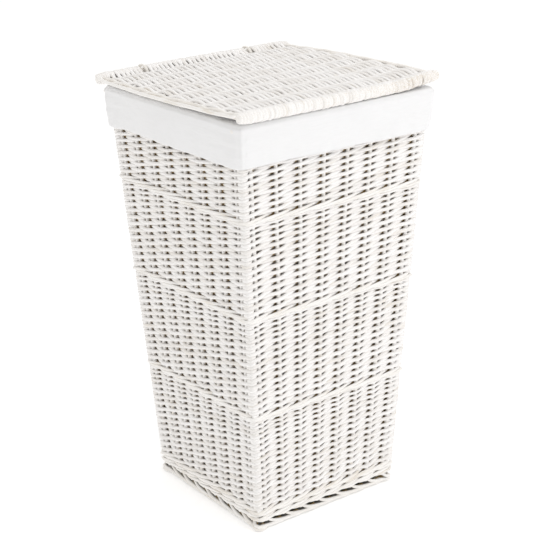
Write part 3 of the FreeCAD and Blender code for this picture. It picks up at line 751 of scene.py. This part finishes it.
CUFF_LOW, CUFF_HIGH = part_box("liner_cuff")
BAG_LOW, BAG_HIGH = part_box("liner_bag")
LINER_POINTS = 720                # points in a ring of cloth
CLOTH = 0.0008                    # thickness of the cotton
HEM_Z = CUFF_LOW.z + 0.0008       # the cuff's lower edge
HEM_HALF = middle_line(HEM_Z) + 0.0098
RIM_HALF = CUFF_HIGH.x - 0.0015   # the cuff's outside, just under its fold
TOP_Z = CUFF_HIGH.z - 0.0019      # the top of the fold
BAG_RIM = BAG_HIGH.x - 0.0006     # where the fold ends inside
WAVES, LONG_WAVES = (23, 37, 51, 64, 9), (3, 5, 7, 11)      # ripples in one round of the hem and the cuff
RIGHT_SLACK = 0.0022              # how much further the cuff stands out at the right
SEAM_SHARE = 0.994                # where the cuff's seam is on its ring, just before the front left corner
SEAM_RIDGE = 0.0009               # how far the seam stands out
FOLD_BEND = 0.0042                # radius of the cuff's fold
FOLD_TURN = 0.013                 # its corner radius, seen from above
CROWDING = 0.7                    # how much closer a ring's points stand at the corners, from 0 to 1


def ring_points(half, turn, count):
    """Places, normals and shares of the way round, for count points of a rounded square."""
    straight = 2 * (half - turn)
    arc = turn * math.pi / 2
    total = 4 * (straight + arc)
    even = np.arange(count) / count
    crowd = TAU * (4 * even - 0.5 * arc / (straight + arc))
    shift = np.sin(crowd) + math.sin(math.pi * arc / (straight + arc))
    d = (even - CROWDING / (4 * TAU) * shift) * total % total
    side = np.floor(d / (straight + arc)).astype(int) % 4
    q = d - side * (straight + arc)
    angle = np.clip((q - straight) / turn, 0, math.pi / 2)
    along = np.where(q <= straight, -straight / 2 + q, straight / 2 + turn * np.sin(angle))
    out = np.where(q <= straight, half, half - turn + turn * np.cos(angle))
    normal_along = np.where(q > straight, np.sin(angle), 0.0)
    normal_out = np.where(q > straight, np.cos(angle), 1.0)
    return on_side(side, along, out), on_side(side, normal_along, normal_out), d / total


def ripple(share, waves, phase, size):
    """A gentle wave round a ring: share runs from 0 to 1 once round."""
    total = np.zeros_like(share)
    for k, (n, p) in enumerate(zip(waves, phase)):
        total += np.sin(TAU * (n * share + p)) / (1 + 0.4 * k)
    return total * size


def ring_at(spot, normal, out, z):
    """A ring of cloth: places in plan, moved out along their normals, at height z."""
    flat = spot + normal * np.broadcast_to(out, len(spot))[:, None]
    return np.column_stack([flat, np.broadcast_to(z, len(spot))])


def cloth_rings(rings, name):
    """A sheet of cloth without thickness, from rows of ring points."""
    count = len(rings[0])
    i = np.arange(len(rings) - 1)[:, None] * count
    k = np.arange(count)[None]
    k2 = (k + 1) % count
    quads = np.stack([i + k, i + k2, i + count + k2, i + count + k], -1).reshape(-1, 4)
    return solid(name, np.vstack(rings), [quads])


def thicken(piece, thickness):
    """Gives a sheet its thickness, half to each side."""
    skin = piece.modifiers.new("skin", "SOLIDIFY")
    skin.thickness, skin.offset = thickness, 0.0
    graph = bpy.context.evaluated_depsgraph_get()
    made = bpy.data.meshes.new_from_object(piece.evaluated_get(graph))
    piece.modifiers.clear()
    old = piece.data
    piece.data = made
    bpy.data.meshes.remove(old)
    for polygon in piece.data.polygons:
        polygon.use_smooth = True


def cut_slits(piece):
    """The slits at the cuff's fold where the hinge loops pass."""
    loops = [(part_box(f"hinge_loop_{n}")[0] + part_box(f"hinge_loop_{n}")[1]) / 2 for n in ("left", "right")]
    mesh = bmesh.new()
    mesh.from_mesh(piece.data)
    doomed = []
    for face in mesh.faces:
        c = face.calc_center_median()
        at_loop = any(abs(c.x - loop.x) < 0.0062 and c.y > loop.y - 0.0155 for loop in loops)
        if at_loop and c.z > TOP_Z - 0.0125:
            doomed.append(face)
    bmesh.ops.delete(mesh, geom=doomed, context="FACES")
    mesh.to_mesh(piece.data)
    mesh.free()


def cuff_wall(lift, out, phase, long_phase):
    """A ring of the cuff's outside, lift metres above the hem, with its gathers, creases and seam."""
    share_up = lift / (TOP_Z - HEM_Z)
    within = min(max(share_up, 0), 1)
    half = HEM_HALF + (RIM_HALF - HEM_HALF) * within + out + 0.0010 * math.sin(math.pi * within)
    spot, normal, share = ring_points(half, 0.011 + 0.002 * share_up, LINER_POINTS)
    wave = ripple(share, WAVES, phase, 0.00045) * math.exp(-max(lift, 0) / 0.012)
    wave = wave + ripple(share + 0.05 * share_up, LONG_WAVES, long_phase, 0.0004)
    # soft creases, nearly level, that fade away from the corners
    corner = np.abs(((share * 4) % 1) - 0.93)
    corner = np.minimum(corner, 1 - corner)
    crease = np.sin(TAU * (lift / 0.019 + 1.3 * share * 4 + 0.3)) * 0.00045
    crease = crease + np.sin(TAU * (lift / 0.0093 - 2.1 * share * 4)) * 0.00022
    wave = wave + crease * np.exp(-(corner / 0.22) ** 2) * math.sin(math.pi * within)
    # the seam: one edge of the cloth lies on the other
    seam = (share - SEAM_SHARE + 0.5) % 1 - 0.5
    wave = wave + SEAM_RIDGE * smooth_step(seam, -0.0009, 0.0) * (1 - smooth_step(seam, 0.0016, 0.0040))
    wave = wave + RIGHT_SLACK * np.clip(normal[:, 0], 0, 1) * within
    sway = ripple(share, (4, 9, 14, 22), phase[:4], 0.0006) * math.exp(-max(lift, 0) / 0.02)
    return ring_at(spot, normal, wave, HEM_Z + lift + sway)


def make_cuff(phase, long_phase):
    """The cuff: up inside the hem, round it, up the outside, over the fold and down into the bag."""
    hem = [(0.0100, -0.0012), (0.0050, -0.0012), (0.0008, -0.0011), (-0.0002, -0.0005), (0.0, 0.0005),
           (0.0010, 0.0011)]
    outside = [(lift, 0.0012) for lift in np.linspace(0.0030, TOP_Z - HEM_Z - 0.0045, 22)]
    made = [cuff_wall(lift, out, phase, long_phase) for lift, out in hem + outside]
    for a in np.linspace(0.15, 1.0, 6) * math.pi / 2:
        half = RIM_HALF - FOLD_BEND * (1 - math.cos(a))
        spot, normal, share = ring_points(half, FOLD_TURN, LINER_POINTS)
        wave = ripple(share + 0.05, LONG_WAVES, long_phase, 0.0005)
        wave = wave + RIGHT_SLACK * np.clip(normal[:, 0], 0, 1)
        made.append(ring_at(spot, normal, wave, TOP_Z - FOLD_BEND * (1 - math.sin(a))))
    for half in np.linspace(RIM_HALF - 0.0080, BAG_RIM + 0.0030, 8):
        spot, normal, share = ring_points(half, FOLD_TURN, LINER_POINTS)
        sag = np.minimum(ripple(share, (6, 13, 19), phase[:3], 0.0003), 0)
        made.append(ring_at(spot, normal, 0, TOP_Z - 0.0003 + sag))
    for a in np.linspace(0.2, 1.0, 5) * math.pi / 2:
        spot, normal, _ = ring_points(BAG_RIM + 0.0030 * (1 - math.sin(a)), 0.014, LINER_POINTS)
        made.append(ring_at(spot, normal, 0, TOP_Z - 0.0003 - 0.003 * (1 - math.cos(a))))
    for drop in (0.006, 0.010, 0.014):
        spot, normal, _ = ring_points(BAG_RIM - FLARE * drop, 0.0135, LINER_POINTS)
        made.append(ring_at(spot, normal, 0, TOP_Z - drop))
    piece = cloth_rings(made, "liner_cuff_cloth")
    cut_slits(piece)
    thicken(piece, CLOTH)
    wear(piece, COTTON, "basket", "cotton", "liner_cuff")


def make_bag(phase, long_phase):
    """The bag: its floor, and its slack walls up to the rim."""
    # half side of the bag at its floor, just inside the wall and the foot border
    inside_wall = middle_line(BAG_LOW.z) - WALL_THICK / 2
    foot_half = float(min(inside_wall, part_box("base_weave")[1].x)) - 0.0008
    made = []
    for inner in np.linspace(0.02, 1.0, 14):
        spot, normal, share = ring_points(max(foot_half * inner - 0.002, 0.002), max(0.011 * inner, 0.0005),
                                          LINER_POINTS)
        z = BAG_LOW.z + 0.0012 + ripple(share + inner, (2, 5), phase[:2], 0.0008) * inner
        made.append(ring_at(spot, normal, 0, np.maximum(z, BAG_LOW.z + 0.0006)))
    for up in np.linspace(0.0, 1.0, 40):
        z = BAG_LOW.z + 0.003 + (TOP_Z - 0.012 - BAG_LOW.z) * up
        half = foot_half + (BAG_RIM - 0.0012 - foot_half) * (z - BAG_LOW.z) / (TOP_Z - BAG_LOW.z)
        spot, normal, share = ring_points(half, 0.012 + 0.002 * up, LINER_POINTS)
        slack = ripple(share + 0.1 * up, LONG_WAVES, long_phase, 0.0011)
        slack = slack + ripple(share - 0.07 * up, (17, 29), phase[:2], 0.0004)
        made.append(ring_at(spot, normal, -np.abs(slack) * math.sin(math.pi * up) ** 0.7, z))
    piece = cloth_rings(made, "liner_bag_cloth")
    mesh = bmesh.new()
    mesh.from_mesh(piece.data)
    hole = [e for e in mesh.edges if e.is_boundary and e.verts[0].co.z < BAG_LOW.z + 0.01]
    bmesh.ops.edgeloop_fill(mesh, edges=hole)
    mesh.to_mesh(piece.data)
    mesh.free()
    thicken(piece, CLOTH)
    wear(piece, COTTON, "basket", "cotton", "liner_bag")


def make_elastic(phase, long_phase):
    """The elastic band inside the cuff's hem."""
    bands = []
    for lift in (0.0022, 0.0080):
        spot, normal, share = ring_points(HEM_HALF, 0.011, LINER_POINTS // 2)
        wave = ripple(share, WAVES, phase, 0.00045) * math.exp(-lift / 0.012)
        wave = wave + ripple(share, LONG_WAVES, long_phase, 0.0005)
        bands.append(ring_at(spot, normal, wave, HEM_Z + lift))
    band = cloth_rings(bands, "hem_elastic")
    thicken(band, 0.0006)
    wear(band, ELASTIC, "basket", "elastic", "cuff_elastic")


def make_liner():
    """The cuff, the bag and the elastic, which share their ripples."""
    phase = RNG.uniform(0, 1, len(WAVES))
    long_phase = RNG.uniform(0, 1, len(LONG_WAVES))
    make_cuff(phase, long_phase)
    make_bag(phase, long_phase)
    make_elastic(phase, long_phase)


# ---------------------------------------------------------------- making it all

make_stakes()
for number, travel in enumerate(TRAVELS, 1):
    make_randing(number, travel)
make_wales()
make_borders()
make_base()
make_lid_weave()
make_lid_sticks()
make_lid_sides()
make_hinge_loops()
make_liner()

# ---------------------------------------------------------------- floor, light and camera

scene = bpy.context.scene
scene.view_settings.view_transform = "Standard"
scene.view_settings.look = "None"
scene.view_settings.exposure = 0.0

FLOOR_HALF = 30.0
# the second colour is a painted shadow under the basket
FLOOR_WHITE, SHADOW_UNDER_BASKET = (0.93, 0.93, 0.93), (0.30, 0.27, 0.23)
FLOOR_GLOW = 0.30         # makes the floor as white as the background; no glow under the basket, which adds to the painted shadow there
GLOW_EDGE, SHADOW_EDGE = (0.108, 0.135), (0.105, 0.120)      # from the middle, where the glow and the painted shadow each set in
WORLD_GLOW = 0.775        # even light from all round


def make_floor():
    """A white floor with a painted shadow within the basket's foot, where the holes of the border look
    through.
    """
    mesh = bpy.data.meshes.new("floor")
    mesh.from_pydata([(-FLOOR_HALF, -FLOOR_HALF, 0), (FLOOR_HALF, -FLOOR_HALF, 0),
                      (FLOOR_HALF, FLOOR_HALF, 0), (-FLOOR_HALF, FLOOR_HALF, 0)], [], [(0, 1, 2, 3)])
    floor = bpy.data.objects.new("floor", mesh)
    scene.collection.objects.link(floor)
    paint, tree, shader = fresh("floor_with_painted_shadow")
    shader.inputs["Roughness"].default_value = 0.9
    shader.inputs["Specular IOR Level"].default_value = 0.0
    shader.inputs["Emission Color"].default_value = (1, 1, 1, 1)
    place = node(tree, "ShaderNodeTexCoord").outputs["Object"]
    distances = node(tree, "ShaderNodeVectorMath", operation="ABSOLUTE")
    tree.links.new(place, distances.inputs[0])
    parts = node(tree, "ShaderNodeSeparateXYZ")
    tree.links.new(distances.outputs[0], parts.inputs[0])
    farther = combine(tree, "MAXIMUM", parts.outputs[0], parts.outputs[1])
    glow = span(tree, farther, *GLOW_EDGE, 0.0, FLOOR_GLOW)
    tree.links.new(glow, shader.inputs["Emission Strength"])
    # painted shadow: darker within the basket's foot
    colour = mix_colour(tree, span(tree, farther, *SHADOW_EDGE), SHADOW_UNDER_BASKET, FLOOR_WHITE)
    tree.links.new(colour, shader.inputs["Base Color"])
    mesh.materials.append(paint)


def make_world():
    """Even light on the basket, and plain white behind it."""
    world = bpy.data.worlds.new("studio")
    scene.world = world
    world.use_nodes = True
    tree = world.node_tree
    glow = tree.nodes["Background"]
    glow.inputs["Color"].default_value = (1.0, 0.99, 0.975, 1)
    glow.inputs["Strength"].default_value = WORLD_GLOW
    backdrop = node(tree, "ShaderNodeBackground", Color=(1.0, 1.0, 1.0, 1), Strength=1.0)
    seen = node(tree, "ShaderNodeLightPath")
    either = node(tree, "ShaderNodeMixShader")
    tree.links.new(seen.outputs["Is Camera Ray"], either.inputs[0])
    tree.links.new(glow.outputs[0], either.inputs[1])
    tree.links.new(backdrop.outputs[0], either.inputs[2])
    tree.links.new(either.outputs[0], tree.nodes["World Output"].inputs["Surface"])


def towards(azimuth, elevation):
    """The direction from the basket to an azimuth, 0 in front, and an elevation, both in degrees."""
    a, e = math.radians(azimuth), math.radians(elevation)
    return Vector((math.sin(a) * math.cos(e), -math.cos(a) * math.cos(e), math.sin(e)))


def make_lamp(name, azimuth, elevation, distance, size, power, colour=(1, 1, 1)):
    """A soft square light that looks at the middle of the basket."""
    light = bpy.data.lights.new(name, "AREA")
    light.shape, light.size, light.energy, light.color = "SQUARE", size, power, colour
    lamp = bpy.data.objects.new(name, light)
    scene.collection.objects.link(lamp)
    away = towards(azimuth, elevation)
    lamp.location = Vector((0, 0, 0.3)) + away * distance
    lamp.rotation_mode = "QUATERNION"
    lamp.rotation_quaternion = away.to_track_quat("Z", "Y")


# the camera: where it stands, how far it leans, and where it looks, to the right and up
AZIMUTH, ELEVATION, ROLL = -36.43, 19.93, math.radians(-1.394)
DISTANCE, LENS = 2.085, 92.6
AIM_RIGHT, AIM_UP = 0.0064, 0.3289


def make_camera():
    """A camera that looks at the basket's front left corner from above."""
    back = towards(AZIMUTH, ELEVATION)
    azimuth = math.radians(AZIMUTH)
    right = Vector((math.cos(azimuth), math.sin(azimuth), 0))
    up = back.cross(right)
    data = bpy.data.cameras.new("camera")
    data.sensor_width = 36.0
    data.lens = LENS
    data.clip_end = 100.0
    camera = bpy.data.objects.new("camera", data)
    scene.collection.objects.link(camera)
    camera.location = right * AIM_RIGHT + Vector((0, 0, AIM_UP)) + back * DISTANCE
    turned_right = right * math.cos(ROLL) + up * math.sin(ROLL)
    turned_up = up * math.cos(ROLL) - right * math.sin(ROLL)
    camera.rotation_mode = "QUATERNION"
    camera.rotation_quaternion = Matrix((turned_right, turned_up, back)).transposed().to_quaternion()
    scene.camera = camera


make_floor()
make_world()
make_lamp("key", azimuth=32, elevation=38, distance=2.6, size=1.6, power=12.5, colour=(0.975, 0.985, 1.0))
make_lamp("fill", azimuth=-85, elevation=25, distance=3.2, size=2.2, power=1.0)
make_lamp("top", azimuth=-20, elevation=82, distance=2.4, size=1.6, power=7)
make_camera()
